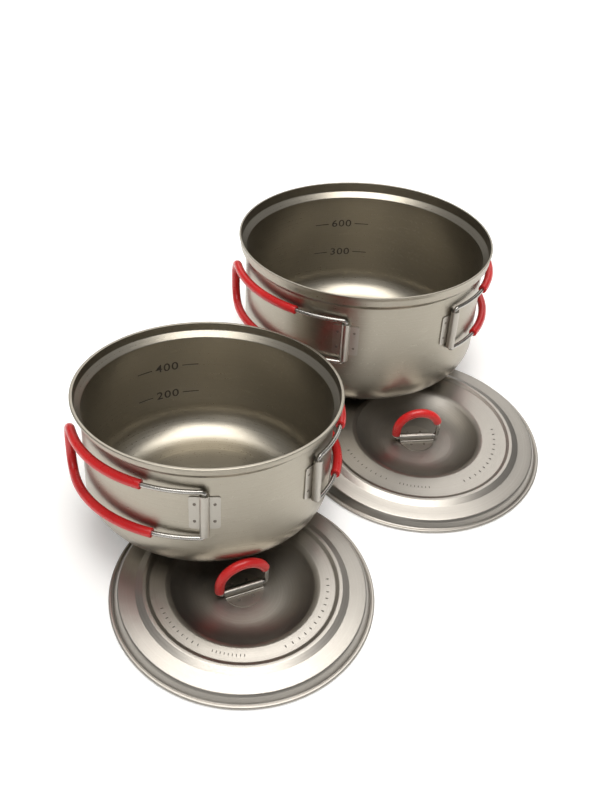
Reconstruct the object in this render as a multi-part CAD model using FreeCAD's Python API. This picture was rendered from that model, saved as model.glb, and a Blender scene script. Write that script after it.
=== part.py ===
import FreeCAD, Part
import math
import os

from FreeCAD import Matrix, Placement, Rotation, Vector

# A nesting camping cookware set: two thin sheet-metal pots with folding wire handles and two
# lids with folding grips.  Millimetres, +Z up, +Y away from the user, table at Z = 0.  Each pot
# leans back on the raised ridge of its own lid, which lies flat in front of it.

SHEET = 0.5                    # wall of the pots and lids
WELD_GAP = 0.02                # between a bracket and the wall that it is welded to

# The two pots.  "at" is the middle of the base on the table plan, azimuths run from straight
# front (0) towards +X, heights are from the underside of the base.
POTS = {
    "small": {
        "at": (-55.5, -49.7), "lean_back": 8.5, "lean_side": -1.4,
        "rim_radius": 66.0, "body_radius": 61.5, "height": 66.3,
        "corner_radius": 18.0, "ledge_depth": 7.2, "rolled_rim": True,
        "barrel_middle": 39.4, "hinge_azimuth": {"left": 5.8, "right": 60.3}, "handle_arc": 74.5,
    },
    "large": {
        "at": (19.3, 88.2), "lean_back": 5.4, "lean_side": -1.6,
        "rim_radius": 73.2, "body_radius": 69.2, "height": 76.5,
        "corner_radius": 18.0, "ledge_depth": 8.8, "rolled_rim": False,
        "barrel_middle": 47.2, "hinge_azimuth": {"left": -7.3, "right": 45.0}, "handle_arc": 69.0,
    },
}

# The two lids.  "turn" is the direction of the grip's barrel on the table plan.
LIDS = {
    "small": {"at": (-32.1, -104.0), "radius": 63.7, "turn": 27.0},
    "large": {"at": (55.0, 12.5), "radius": 69.6, "turn": 11.0},
}

# Rim of a pot
ROLLED_LIP = 1.1               # the rim's edge stands this far outside the wall below it
PLAIN_LIP = 0.5
ROLLED_LIP_HEIGHT = 1.2
PLAIN_LIP_HEIGHT = 2.0
PLAIN_LIP_EDGE = 0.3           # height of the plain lip's outermost line below the top
RIM_EASE = 0.2                 # small bevels at the top edge and under the ledge
LEDGE_SLOPE = 0.6              # rise of the ledge for each millimetre that the wall widens
UPPER_FLARE = 0.3              # the band above the ledge widens by this towards the rim

# Handle hinge, wire and sleeve
WIRE_RADIUS = 1.15
BORE_RADIUS = 1.21
BARREL_RADIUS = 2.3
BARREL_LENGTH = 23.0
HINGE_STANDOFF = 2.1           # wall to hinge axis
FLANGE_HALF_WIDTH = 7.15
FLANGE_INSET = 2.5             # flange is this much shorter than the barrel at each end
FLANGE_CORNER = 1.2
WELD_MARK_RADIUS = 0.8
WELD_MARK_DEPTH = 0.15
WELD_MARK_REACH = 4.6          # hinge axis to weld marks, around the wall
WELD_MARK_PITCH = 9.6
HANDLE_BEND = 1.7              # centre-line radius of the bends beside the barrel
HANDLE_TURN = 9.5              # centre-line radius of the bends at the far end
HANDLE_SPLAY = 1.2             # degrees that the handle leaves the wall at
WIRE_END_GAP = 1.0             # between the two wire ends inside the barrel
SLEEVE_RADIUS = 2.35
SLEEVE_FIT = 0.01              # radial
SLEEVE_START = 27.0            # hinge to sleeve, along the upper run
SLEEVE_START_LOW = 22.5        # the same along the lower run

# Lid section, heights above the table
FLANGE_HEIGHT = 1.4
FLANGE_BEAD = 2.3              # outer edge to side wall
FLANGE_ROUND = 0.5
BAND_LEAN = 0.8                # the side band's top stands in this far less than the shoulder
BAND_EDGE = 1.2                # height of the rounded edge between band and shoulder
UNDERSIDE_INSET = 0.9          # underside of the band, as a share of the sheet
SHOULDER_INSET = 4.4
SHOULDER_HEIGHT = 5.4
STEP_INSET = 13.2
STEP_LOW = 6.3
STEP_WIDTH = 2.8
RIDGE_WIDTH = 1.6
RIDGE_FALL = 1.8               # ridge to flat ring, on plan
RIDGE_HEIGHT = 7.7
DISH_RADIUS = 35.4
DISH_EDGE_HEIGHT = 7.2
DISH_FLAT_RADIUS = 22.0
DISH_FLOOR = 0.9               # top of the dish floor
DISH_SAG = 1.4                 # the dish's side hangs this far below a straight slope

# Lid grip
DISC_RADIUS = 10.0
DISC_SHEET = 0.5
DISC_MARK_ALONG = 3.7
DISC_MARK_ACROSS = 5.0
GRIP_BARREL_LENGTH = 19.4
GRIP_BARREL_RADIUS = 2.1
GRIP_AXIS_RISE = 1.9          # dish floor to grip hinge axis
GRIP_HALF_WIDTH = 11.9
GRIP_BEND = 1.7
GRIP_STRAIGHT = 4.2            # upright stretch beside the barrel, above the bend
GRIP_SLEEVE_RADIUS = 2.4
GRIP_SLEEVE_LOW = 0.6          # upright wire left bare at the sleeve's low end, above the bend
GRIP_SLEEVE_CUT = 22.0         # degrees of the arch left bare at the sleeve's high end

UP = Vector(0, 0, 1)


def line(start, end):
    return Part.LineSegment(start, end).toShape()


def arc(centre, radius, first, second, start, end):
    """Arc in the plane of the unit vectors first and second, angles in degrees."""
    points = []
    for angle in (start, (start + end) / 2, end):
        turn = math.radians(angle)
        points.append(centre + first * radius * math.cos(turn) + second * radius * math.sin(turn))
    return Part.Arc(*points).toShape()


def end_point(edge):
    return edge.valueAt(edge.LastParameter)


def start_point(edge):
    return edge.valueAt(edge.FirstParameter)


def tube(edges, radius):
    """Round bar along a smooth run of edges."""
    path = Part.Wire(edges)
    start = start_point(edges[0])
    heading = edges[0].tangentAt(edges[0].FirstParameter)
    section = Part.Wire([Part.makeCircle(radius, start, heading)])
    return path.makePipeShell([section], True, False)


def sleeve(edges, radius):
    return tube(edges, radius).cut(tube(edges, WIRE_RADIUS + SLEEVE_FIT)).Solids[0]


def profile(points):
    """Closed outline of (radius, height) points; a 4-tuple is the middle and end of an arc."""
    edges = []
    here = Vector(points[0][0], 0, points[0][1])
    for item in points[1:] + points[:1]:
        there = Vector(item[-2], 0, item[-1])
        if len(item) == 4:
            edges.append(Part.Arc(here, Vector(item[0], 0, item[1]), there).toShape())
        elif here.distanceToPoint(there) > 1e-6:
            edges.append(line(here, there))
        here = there
    return Part.Face(Part.Wire(edges))


def spin(points):
    return profile(points).revolve(Vector(0, 0, 0), UP, 360)


def corner(radius, corner_radius, height):
    """Middle and end of a quarter arc from the base up to the wall."""
    centre = radius - corner_radius
    reach = corner_radius * math.sqrt(0.5)
    return (centre + reach, height + corner_radius - reach, radius, height + corner_radius)


def corner_down(radius, corner_radius, height):
    """Middle and end of a quarter arc from the wall down to the base."""
    centre = radius - corner_radius
    reach = corner_radius * math.sqrt(0.5)
    return (centre + reach, height + corner_radius - reach, centre, height)


def rim_outline(pot, outside):
    """Outer and top line of the rim, whose wall below has the radius outside."""
    rim = pot["rim_radius"]
    top = pot["height"]
    if pot["rolled_rim"]:
        middle = top - ROLLED_LIP_HEIGHT / 2
        line_points = [(outside, top - ROLLED_LIP_HEIGHT), (rim, middle, outside + UPPER_FLARE, top)]
        return line_points + [(outside - SHEET, top), (outside - SHEET, top - PLAIN_LIP_HEIGHT)]
    line_points = [(outside, top - PLAIN_LIP_HEIGHT), (rim, top - PLAIN_LIP_EDGE), (rim - RIM_EASE, top)]
    return line_points + [(outside - SHEET, top), (outside - SHEET, top - PLAIN_LIP_HEIGHT)]


def pot_shell(pot):
    body = pot["body_radius"]
    bend = pot["corner_radius"]
    ledge = pot["height"] - pot["ledge_depth"]
    outside = pot["rim_radius"] - (ROLLED_LIP if pot["rolled_rim"] else PLAIN_LIP)
    ledge_top = ledge + LEDGE_SLOPE * (outside - body)
    outline = [(0, 0), (body - bend, 0), corner(body, bend, 0)]
    outline += [(body, ledge), (outside - UPPER_FLARE, ledge_top)]
    outline += rim_outline(pot, outside)
    outline += [(outside - UPPER_FLARE - SHEET, ledge_top + RIM_EASE), (body - SHEET, ledge + RIM_EASE)]
    outline += [(body - SHEET, bend), corner_down(body - SHEET, bend - SHEET, SHEET), (0, SHEET)]
    return spin(outline)


def lid_slopes(radius, drop):
    """Line of the lid from the foot of its side band to the dish, lowered by drop."""
    wall = radius - FLANGE_BEAD - UNDERSIDE_INSET * drop
    shoulder = radius - SHOULDER_INSET - UNDERSIDE_INSET * drop
    step = radius - STEP_INSET
    ridge = step - STEP_WIDTH
    ridge_inside = ridge - RIDGE_WIDTH
    heights = [
        (wall, FLANGE_HEIGHT), (shoulder + BAND_LEAN, SHOULDER_HEIGHT - BAND_EDGE),
        (shoulder, SHOULDER_HEIGHT), (step, STEP_LOW), (ridge, RIDGE_HEIGHT),
        (ridge_inside, RIDGE_HEIGHT), (ridge_inside - RIDGE_FALL, DISH_EDGE_HEIGHT),
        (DISH_RADIUS, DISH_EDGE_HEIGHT),
    ]
    return [(reach, height - drop) for reach, height in heights]


def lid_shell(lid):
    radius = lid["radius"]
    side = (DISH_RADIUS + DISH_FLAT_RADIUS) / 2
    sag = (DISH_EDGE_HEIGHT + DISH_FLOOR) / 2 - DISH_SAG
    edge = [(radius - FLANGE_BEAD - SHEET, 0), (radius - FLANGE_ROUND, 0)]
    edge += [(radius, FLANGE_HEIGHT / 2, radius - FLANGE_ROUND, FLANGE_HEIGHT)]
    over = lid_slopes(radius, 0)
    over += [(side, sag, DISH_FLAT_RADIUS, DISH_FLOOR), (0, DISH_FLOOR)]
    under = [(0, DISH_FLOOR - SHEET), (DISH_FLAT_RADIUS, DISH_FLOOR - SHEET)]
    under += [(side, sag - SHEET, DISH_RADIUS, DISH_EDGE_HEIGHT - SHEET)]
    under += reversed(lid_slopes(radius, SHEET)[:-1])
    return spin(edge + over + under)


def hinge_radius(pot):
    return pot["body_radius"] + HINGE_STANDOFF


def weld_mark(position, outward):
    depth = 3 * WELD_MARK_DEPTH
    base = position - outward * WELD_MARK_DEPTH
    return Part.makeCylinder(WELD_MARK_RADIUS, depth, base, outward)


def handle_bracket(pot):
    """Sheet bracket with a rolled barrel, at azimuth 0."""
    inside = pot["body_radius"] + WELD_GAP
    outside = inside + SHEET
    middle = pot["barrel_middle"]
    low = middle - BARREL_LENGTH / 2
    height = BARREL_LENGTH - 2 * FLANGE_INSET
    half_angle = math.degrees(FLANGE_HALF_WIDTH / outside)
    foot = low + FLANGE_INSET
    strip = profile([(inside, foot), (outside, foot), (outside, foot + height), (inside, foot + height)])
    flange = strip.revolve(Vector(0, 0, 0), UP, 2 * half_angle)
    flange.rotate(Vector(0, 0, 0), UP, -90 - half_angle)
    corners = [edge for edge in flange.Edges if abs(edge.Length - SHEET) < 1e-3]
    flange = flange.makeFillet(FLANGE_CORNER, corners)
    axis = Vector(0, -hinge_radius(pot), low)
    barrel = Part.makeCylinder(BARREL_RADIUS, BARREL_LENGTH, axis, UP)
    barrel = barrel.cut(Part.makeCylinder(inside, 2 * BARREL_LENGTH, Vector(0, 0, low - BARREL_LENGTH / 2)))
    bracket = barrel.fuse(flange)
    bracket = bracket.cut(Part.makeCylinder(BORE_RADIUS, 2 * BARREL_LENGTH, axis - UP * BARREL_LENGTH / 2))
    for side in (-1, 1):
        for rise in (-0.5, 0.5):
            angle = side * WELD_MARK_REACH / outside
            outward = Vector(math.sin(angle), -math.cos(angle), 0)
            spot = outward * outside + UP * (middle + rise * WELD_MARK_PITCH)
            bracket = bracket.cut(weld_mark(spot, outward))
    return bracket.removeSplitter().Solids[0]


def handle_directions():
    """Directions at the hinge: along the handle, and from the handle towards the pot."""
    splay = math.radians(HANDLE_SPLAY)
    return Vector(math.cos(splay), -math.sin(splay), 0), Vector(math.sin(splay), math.cos(splay), 0)


def handle_runs(pot, upper_start, lower_start):
    """Edges along the upper run, round the far end and back; both starts are in degrees."""
    radius = hinge_radius(pot)
    heading, inward = handle_directions()
    start = Vector(0, -radius, 0) + heading * HANDLE_BEND
    centre = start + inward * radius
    half_gap = BARREL_LENGTH / 2 + HANDLE_BEND
    high = pot["barrel_middle"] + half_gap
    low = pot["barrel_middle"] - half_gap
    last = math.radians(pot["handle_arc"])
    far = centre - inward * radius * math.cos(last) + heading * radius * math.sin(last)
    onward = heading * math.cos(last) + inward * math.sin(last)
    back = inward * -1
    edges = [arc(centre + UP * high, radius, back, heading, upper_start, pot["handle_arc"])]
    edges.append(arc(far + UP * (high - HANDLE_TURN), HANDLE_TURN, UP, onward, 0, 90))
    edge_low = far + onward * HANDLE_TURN + UP * (low + HANDLE_TURN)
    edges.append(line(end_point(edges[-1]), edge_low))
    edges.append(arc(far + UP * (low + HANDLE_TURN), HANDLE_TURN, onward, UP * -1, 0, 90))
    edges.append(arc(centre + UP * low, radius, back, heading, pot["handle_arc"], lower_start))
    return edges


def handle_wire(pot):
    heading = handle_directions()[0]
    hinge = Vector(0, -hinge_radius(pot), pot["barrel_middle"])
    half = BARREL_LENGTH / 2
    gap = WIRE_END_GAP / 2
    edges = [line(hinge + UP * gap, hinge + UP * half)]
    edges.append(arc(hinge + UP * half + heading * HANDLE_BEND, HANDLE_BEND, heading * -1, UP, 0, 90))
    edges += handle_runs(pot, 0, 0)
    edges.append(arc(hinge - UP * half + heading * HANDLE_BEND, HANDLE_BEND, UP * -1, heading * -1, 0, 90))
    edges.append(line(hinge - UP * half, hinge - UP * gap))
    return tube(edges, WIRE_RADIUS)


def handle_sleeve(pot):
    upper = math.degrees(SLEEVE_START / hinge_radius(pot))
    lower = math.degrees(SLEEVE_START_LOW / hinge_radius(pot))
    return sleeve(handle_runs(pot, upper, lower), SLEEVE_RADIUS)


def grip_axis_height():
    return DISH_FLOOR + GRIP_AXIS_RISE


def grip_arch(low_bare, high_cut):
    """Edges of the upright loop, from its left foot over the top to its right foot."""
    foot = grip_axis_height() + GRIP_BEND
    top = foot + GRIP_STRAIGHT
    right = Vector(1, 0, 0)
    edges = [line(Vector(-GRIP_HALF_WIDTH, 0, foot + low_bare), Vector(-GRIP_HALF_WIDTH, 0, top))]
    edges.append(arc(UP * top, GRIP_HALF_WIDTH, right, UP, 180, high_cut))
    if high_cut == 0:
        edges.append(line(Vector(GRIP_HALF_WIDTH, 0, top), Vector(GRIP_HALF_WIDTH, 0, foot)))
    return edges


def grip_wire():
    height = grip_axis_height()
    reach = GRIP_HALF_WIDTH - GRIP_BEND
    gap = WIRE_END_GAP / 2
    right = Vector(1, 0, 0)
    left_bend = Vector(-reach, 0, height + GRIP_BEND)
    right_bend = Vector(reach, 0, height + GRIP_BEND)
    edges = [line(Vector(-gap, 0, height), Vector(-reach, 0, height))]
    edges.append(arc(left_bend, GRIP_BEND, UP * -1, right * -1, 0, 90))
    edges += grip_arch(0, 0)
    edges.append(arc(right_bend, GRIP_BEND, right, UP * -1, 0, 90))
    edges.append(line(Vector(reach, 0, height), Vector(gap, 0, height)))
    return tube(edges, WIRE_RADIUS)


def grip_sleeve():
    return sleeve(grip_arch(GRIP_SLEEVE_LOW, GRIP_SLEEVE_CUT), GRIP_SLEEVE_RADIUS)


def grip_bracket():
    """Round welded disc folded up across its middle into a barrel."""
    base = DISH_FLOOR + WELD_GAP
    disc = Part.makeCylinder(DISC_RADIUS, DISC_SHEET, UP * base)
    start = Vector(-GRIP_BARREL_LENGTH / 2, 0, grip_axis_height())
    along = Vector(1, 0, 0)
    barrel = Part.makeCylinder(GRIP_BARREL_RADIUS, GRIP_BARREL_LENGTH, start, along)
    below = Part.makeBox(4 * DISC_RADIUS, 4 * DISC_RADIUS, 4 * DISC_RADIUS)
    below.translate(Vector(-2 * DISC_RADIUS, -2 * DISC_RADIUS, base - 4 * DISC_RADIUS))
    bracket = disc.fuse(barrel.cut(below))
    bore_start = start - along * GRIP_BARREL_LENGTH / 2
    bracket = bracket.cut(Part.makeCylinder(BORE_RADIUS, 2 * GRIP_BARREL_LENGTH, bore_start, along))
    for across in (-1, 1):
        for side in (-1, 1):
            spot = Vector(across * DISC_MARK_ALONG, side * DISC_MARK_ACROSS, base + DISC_SHEET)
            bracket = bracket.cut(weld_mark(spot, UP))
    return bracket.removeSplitter().Solids[0]


def pot_placement(pot):
    """Base on the table plan, leaning back about the rear of its flat base."""
    slope_x = math.tan(math.radians(pot["lean_side"]))
    slope_y = math.tan(math.radians(pot["lean_back"]))
    axis = Vector(slope_x, slope_y, 1).normalize()
    right = Vector(0, 1, 0).cross(axis).normalize()
    away = axis.cross(right)
    flat = pot["body_radius"] - pot["corner_radius"]
    tilt = math.hypot(axis.x, axis.y)
    rise = flat * tilt + pot["corner_radius"] * (1 - axis.z)
    matrix = Matrix(
        right.x, away.x, axis.x, pot["at"][0],
        right.y, away.y, axis.y, pot["at"][1],
        right.z, away.z, axis.z, rise,
        0, 0, 0, 1,
    )
    return Placement(matrix)


def lid_placement(lid):
    return Placement(Vector(lid["at"][0], lid["at"][1], 0), Rotation(UP, lid["turn"]))


def pot_pieces(size):
    pot = POTS[size]
    place = pot_placement(pot)
    pieces = {f"pot_{size}": pot_shell(pot)}
    makers = {"bracket": handle_bracket, "wire": handle_wire, "sleeve": handle_sleeve}
    for side, azimuth in pot["hinge_azimuth"].items():
        for kind, make in makers.items():
            shape = make(pot)
            if side == "left":
                shape = shape.mirror(Vector(0, 0, 0), Vector(1, 0, 0))
            shape.rotate(Vector(0, 0, 0), UP, azimuth)
            pieces[f"handle_{kind}_{size}_{side}"] = shape
    return {name: shape.transformed(place.Matrix, True) for name, shape in pieces.items()}


def lid_pieces(size):
    lid = LIDS[size]
    place = lid_placement(lid)
    pieces = {
        f"lid_{size}": lid_shell(lid),
        f"grip_bracket_{size}": grip_bracket(),
        f"grip_wire_{size}": grip_wire(),
        f"grip_sleeve_{size}": grip_sleeve(),
    }
    return {name: shape.transformed(place.Matrix, True) for name, shape in pieces.items()}


def all_pieces():
    """Every piece by name, as laid out on the table plan."""
    pieces = {}
    for size in ("small", "large"):
        pieces.update(pot_pieces(size))
        pieces.update(lid_pieces(size))
    return pieces


def set_shift(pieces):
    """Move that centres the set's box on the origin, with its foot at zero."""
    box = FreeCAD.BoundBox()
    for shape in pieces.values():
        box.add(shape.optimalBoundingBox(False, False))
    return Vector(-box.Center.x, -box.Center.y, -box.ZMin)


os.makedirs("parts", exist_ok=True)
PIECES = all_pieces()
SHIFT = set_shift(PIECES)
for piece_name, piece in PIECES.items():
    piece.translate(SHIFT)
    piece.exportStep(f"parts/{piece_name}.step")
    print(piece_name, piece.ShapeType, piece.isValid(), len(piece.Solids), round(piece.Volume, 1))
print("shift", SHIFT)
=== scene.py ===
import math

import bpy
from mathutils import Matrix, Vector


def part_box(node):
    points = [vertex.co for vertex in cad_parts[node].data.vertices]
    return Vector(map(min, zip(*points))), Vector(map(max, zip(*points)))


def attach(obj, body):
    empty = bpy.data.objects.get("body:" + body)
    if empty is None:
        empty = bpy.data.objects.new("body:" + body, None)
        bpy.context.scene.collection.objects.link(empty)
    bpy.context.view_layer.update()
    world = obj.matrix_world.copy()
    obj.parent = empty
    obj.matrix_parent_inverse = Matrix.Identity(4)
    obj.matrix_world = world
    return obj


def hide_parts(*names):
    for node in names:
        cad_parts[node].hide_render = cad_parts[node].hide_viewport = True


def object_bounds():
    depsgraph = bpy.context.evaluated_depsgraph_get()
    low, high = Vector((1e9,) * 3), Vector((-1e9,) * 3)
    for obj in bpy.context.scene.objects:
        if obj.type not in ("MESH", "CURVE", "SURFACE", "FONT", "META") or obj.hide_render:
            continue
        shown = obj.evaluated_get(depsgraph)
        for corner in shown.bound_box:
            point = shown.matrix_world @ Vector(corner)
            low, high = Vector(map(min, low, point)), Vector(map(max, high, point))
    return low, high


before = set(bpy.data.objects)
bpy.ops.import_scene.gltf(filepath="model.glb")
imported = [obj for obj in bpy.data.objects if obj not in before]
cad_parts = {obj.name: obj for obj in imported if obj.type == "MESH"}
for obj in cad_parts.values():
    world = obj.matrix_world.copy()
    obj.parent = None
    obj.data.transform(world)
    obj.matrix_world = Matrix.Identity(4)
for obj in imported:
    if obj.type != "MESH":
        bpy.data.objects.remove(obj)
CAD_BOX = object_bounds()

# Sizes are in millimetres and angles in degrees; a mesh gets metres when it is made.
MM = 0.001
UP = Vector((0, 0, 1))

# ---------------------------------------------------------------- sizes shared with the CAD parts

SHEET = 0.5                    # wall of the pots and lids
POTS = {
    "small": {
        "at": (-55.5, -49.7), "lean_back": 8.5, "lean_side": -1.4,
        "rim_radius": 66.0, "body_radius": 61.5, "height": 66.3,
        "corner_radius": 18.0, "ledge_depth": 7.2, "rolled_rim": True,
        "barrel_middle": 39.4, "hinge_azimuth": {"left": 5.8, "right": 60.3}, "handle_arc": 74.5,
        "marks": ((25.5, "200"), (42.8, "400")), "marks_azimuth": 209.0,
    },
    "large": {
        "at": (19.3, 88.2), "lean_back": 5.4, "lean_side": -1.6,
        "rim_radius": 73.2, "body_radius": 69.2, "height": 76.5,
        "corner_radius": 18.0, "ledge_depth": 8.8, "rolled_rim": False,
        "barrel_middle": 47.2, "hinge_azimuth": {"left": -7.3, "right": 45.0}, "handle_arc": 69.0,
        "marks": ((29.5, "300"), (49.8, "600")), "marks_azimuth": 191.5,
    },
}
LIDS = {
    "small": {"at": (-32.1, -104.0), "radius": 63.7, "turn": 27.0},
    "large": {"at": (55.0, 12.5), "radius": 69.6, "turn": 11.0},
}

WELD_GAP = 0.02                # between a bracket and the wall that it is welded to
WIRE_RADIUS = 1.15
WIRE_END_GAP = 1.0             # between the two wire ends inside a barrel
BARREL_LENGTH = 23.0
HINGE_STANDOFF = 2.1           # wall to hinge axis
WELD_MARK_REACH = 4.6          # hinge axis to weld marks, around the wall
WELD_MARK_PITCH = 9.6
HANDLE_BEND = 1.7              # centre-line radius of the bends beside the barrel
HANDLE_TURN = 9.5              # centre-line radius of the bends at the far end
HANDLE_SPLAY = 1.2             # degrees that the handle leaves the wall at
SLEEVE_RADIUS = 2.35
SLEEVE_START = 27.0            # hinge to sleeve, along the upper run
SLEEVE_START_LOW = 22.5        # the same along the lower run

FLANGE_HEIGHT = 1.4
FLANGE_BEAD = 2.3              # the lid's outer edge to its side wall
SHOULDER_INSET = 4.4
SHOULDER_HEIGHT = 5.4
STEP_INSET = 13.2
STEP_LOW = 6.3
STEP_WIDTH = 2.8
RIDGE_WIDTH = 1.6
RIDGE_HEIGHT = 7.7
DISH_RADIUS = 35.4
DISH_EDGE_HEIGHT = 7.2
DISH_FLAT_RADIUS = 22.0
DISH_FLOOR = 0.9               # top of the dish floor

DISC_SHEET = 0.5               # thickness of the disc that carries the lid's grip
DISC_MARK_ALONG = 3.7
DISC_MARK_ACROSS = 5.0
GRIP_BARREL_LENGTH = 19.4
GRIP_AXIS_RISE = 1.9           # dish floor to grip hinge axis
GRIP_HALF_WIDTH = 11.9
GRIP_BEND = 1.7
GRIP_STRAIGHT = 4.2            # upright stretch beside the barrel, above the bend
GRIP_SLEEVE_RADIUS = 2.4
GRIP_SLEEVE_LOW = 0.6          # upright wire left bare at the sleeve's low end, above the bend
GRIP_SLEEVE_CUT = 22.0         # degrees of the arch left bare at the sleeve's high end

# ---------------------------------------------------------------- finer sizes of the surfaces

ROLLED_LIP = 1.1               # the rim's edge stands this far outside the wall below it
PLAIN_LIP = 0.5
ROLLED_LIP_HEIGHT = 1.25
PLAIN_LIP_HEIGHT = 2.2
PLAIN_LIP_EDGE = 0.5           # the plain lip's outermost line, below the top
PLAIN_LIP_BEVEL = 0.1
LEDGE_STEEPNESS = 0.85         # rise of the ledge for each millimetre that the wall widens
UPPER_FLARE = 0.3              # the band above the ledge widens by this towards the rim
LEDGE_LIFT = 0.2               # the ledge's inside line lies this far above its outside one
LEDGE_TOP_LIFT = 0.25
FOOT_INSET = 4.0               # corner's foot to the faint ring pressed into the base
FOOT_RING_WIDTH = 1.2
FOOT_RING_RISE = 0.06
FOOT_RING_RISE_INSIDE = 0.12

RIDGE_FOOT = 3.4               # the ridge's outer edge to where the flat ring begins
RING_FALL = 0.35               # the flat ring falls by this towards the ridge
DISH_BROW = 1.6                # the flat ring's inner line, outside the dish's edge
BAND_LEAN = 0.8                # the side band's top stands in this far less than the shoulder
BAND_EDGE = 1.2                # height of the rounded edge between band and shoulder
UNDERSIDE_INSET = 0.9          # underside of the band, as a share of the sheet
STEP_EASE = 0.6
DISH_STEPS = 24
DISH_HOLLOW = 4.0              # the dish's side runs this far inside its flat floor's edge
DISH_CURVE = 2.2               # power of the dish's fall
GROOVE_OUTER = 1.3             # thin line round the top of the flange, from the lid's edge
GROOVE_INNER = 1.7
GROOVE_DEPTH = 0.35

ROLL_LIP_RADIUS = 0.5          # free edge of the disc's rolled sheet, in front of the barrel
ROLL_LIP_REACH = 2.5
WELD_MARK_SIZE = (1.5, 1.5, 0.3)
WELD_MARK_SUNK = 0.12          # the mark's middle lies this far below the sheet's face
TICK_SIZE = (1.5, 0.45, 0.06)
TICK_GROUPS = ((-62, -24, 4.2), (-14, 8, 2.6), (34, 104, 5.4))   # first, last and step, degrees

NUMBER_HEIGHT = 4.8
NUMBER_SPREAD = 1.22           # numbers are stretched sideways by this
LETTER_SIZE = 1.38             # font size for each millimetre of a number's height
LETTER_WEIGHT = 0.06
LETTER_SPACING = 1.12
DASH_NEAR = 8.6                # a dash runs from here to DASH_FAR on both sides of a number
DASH_FAR = 17.5
DASH_WIDTH = 0.55
MARK_STAND = 0.06              # printed marks stand this far off the wall
# A pale copy of each graduation is a painted highlight on its lower edge; it stands this far off
# the wall.
PAINTED_HIGHLIGHT_STAND = 0.03
PAINTED_HIGHLIGHT_DROP = 0.28              # the painted highlight on a mark's lower edge shows this far below the mark

SOFT_END = 0.35                # a cut tube's rounded edge, along the tube
SOFT_END_STEPS = ((1.0, 1.0), (0.4, 0.985), (0.1, 0.95))   # share of SOFT_END, width there
SOFT_END_WIDTH = 0.90

# ---------------------------------------------------------------- fineness of the meshes

SPIN_STEPS = 256               # steps round a pot or lid
TUBE_SIDES = 20
MARK_SIDES = 16
OUTLINE_PIECE = 4.0            # longest straight piece of an outline
FILLET_STEP = 0.8 / 6          # radians of a fillet for each piece
FILLET_LIMIT = 0.98            # most of its share of a side that a fillet may use
RUN_STEP = 2.0                 # degrees for each piece of a handle's long arcs
TURN_STEP = 6.0
ARCH_STEP = 5.0
BEND_STEP = 10.0
MERGE_DISTANCE = 1e-6


def table_shift():
    """From the set's plan to the frame: where the small lid's middle really is."""
    low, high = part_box("lid_small")
    middle = (low + high) / 2 / MM
    plan = Vector((*LIDS["small"]["at"], 0))
    return Vector((middle.x, middle.y, low.z / MM)) - plan


SHIFT = table_shift()


# ---------------------------------------------------------------- node helpers

class Wiring:
    """Short calls for adding nodes to a tree and joining them."""

    def __init__(self, tree):
        self.tree = tree

    def add(self, kind, settings=None, **inputs):
        node = self.tree.nodes.new(kind)
        for name, value in (settings or {}).items():
            setattr(node, name, value)
        for name, value in inputs.items():
            self.feed(node.inputs[name.replace("_", " ")], value)
        return node

    def feed(self, socket, value):
        if isinstance(value, bpy.types.NodeSocket):
            self.tree.links.new(value, socket)
        elif value is not None:
            socket.default_value = value

    def math(self, operation, first, second=None):
        node = self.tree.nodes.new("ShaderNodeMath")
        node.operation = operation
        self.feed(node.inputs[0], first)
        self.feed(node.inputs[1], second)
        return node.outputs[0]

    def ramp(self, source, stops):
        node = self.tree.nodes.new("ShaderNodeMapRange")
        node.clamp = True
        self.feed(node.inputs["Value"], source)
        for name, value in zip(("From Min", "From Max", "To Min", "To Max"), stops):
            node.inputs[name].default_value = value
        return node.outputs["Result"]

    def mix(self, factor, first, second):
        node = self.tree.nodes.new("ShaderNodeMix")
        node.data_type = "RGBA"
        self.feed(node.inputs["Factor"], factor)
        self.feed(node.inputs["A"], first)
        self.feed(node.inputs["B"], second)
        return node.outputs["Result"]


def new_tree(name, kind, inputs, outputs):
    """An empty node group with its sockets, and what wires it up."""
    tree = bpy.data.node_groups.new(name, kind)
    for label, socket_kind, value in inputs:
        socket = tree.interface.new_socket(label, in_out="INPUT", socket_type=socket_kind)
        if value is not None:
            socket.default_value = value
    for label, socket_kind in outputs:
        tree.interface.new_socket(label, in_out="OUTPUT", socket_type=socket_kind)
    wiring = Wiring(tree)
    start = wiring.add("NodeGroupInput").outputs
    finish = wiring.add("NodeGroupOutput").inputs
    return tree, wiring, start, finish


# ---------------------------------------------------------------- shader groups

def grain_group():
    """Fine bead-blasted grain: a height, a roughness change and a soft tone change."""
    inputs = [("Grain Size", "NodeSocketFloat", 2500.0), ("Tone Size", "NodeSocketFloat", 25.0)]
    outputs = [(label, "NodeSocketFloat") for label in ("Height", "Speckle", "Tone")]
    tree, wiring, start, finish = new_tree("blasted grain", "ShaderNodeTree", inputs, outputs)
    place = wiring.add("ShaderNodeTexCoord").outputs["Object"]
    fine = wiring.add(
        "ShaderNodeTexNoise", Vector=place, Scale=start["Grain Size"], Detail=3.0, Roughness=0.6)
    broad = wiring.add("ShaderNodeTexNoise", Vector=place, Scale=start["Tone Size"], Detail=2.0)
    wiring.feed(finish["Height"], fine.outputs["Fac"])
    wiring.feed(finish["Speckle"], wiring.ramp(fine.outputs["Fac"], (0.35, 0.65, -1.0, 1.0)))
    wiring.feed(finish["Tone"], wiring.ramp(broad.outputs["Fac"], (0.3, 0.7, 0.0, 1.0)))
    return tree


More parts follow.
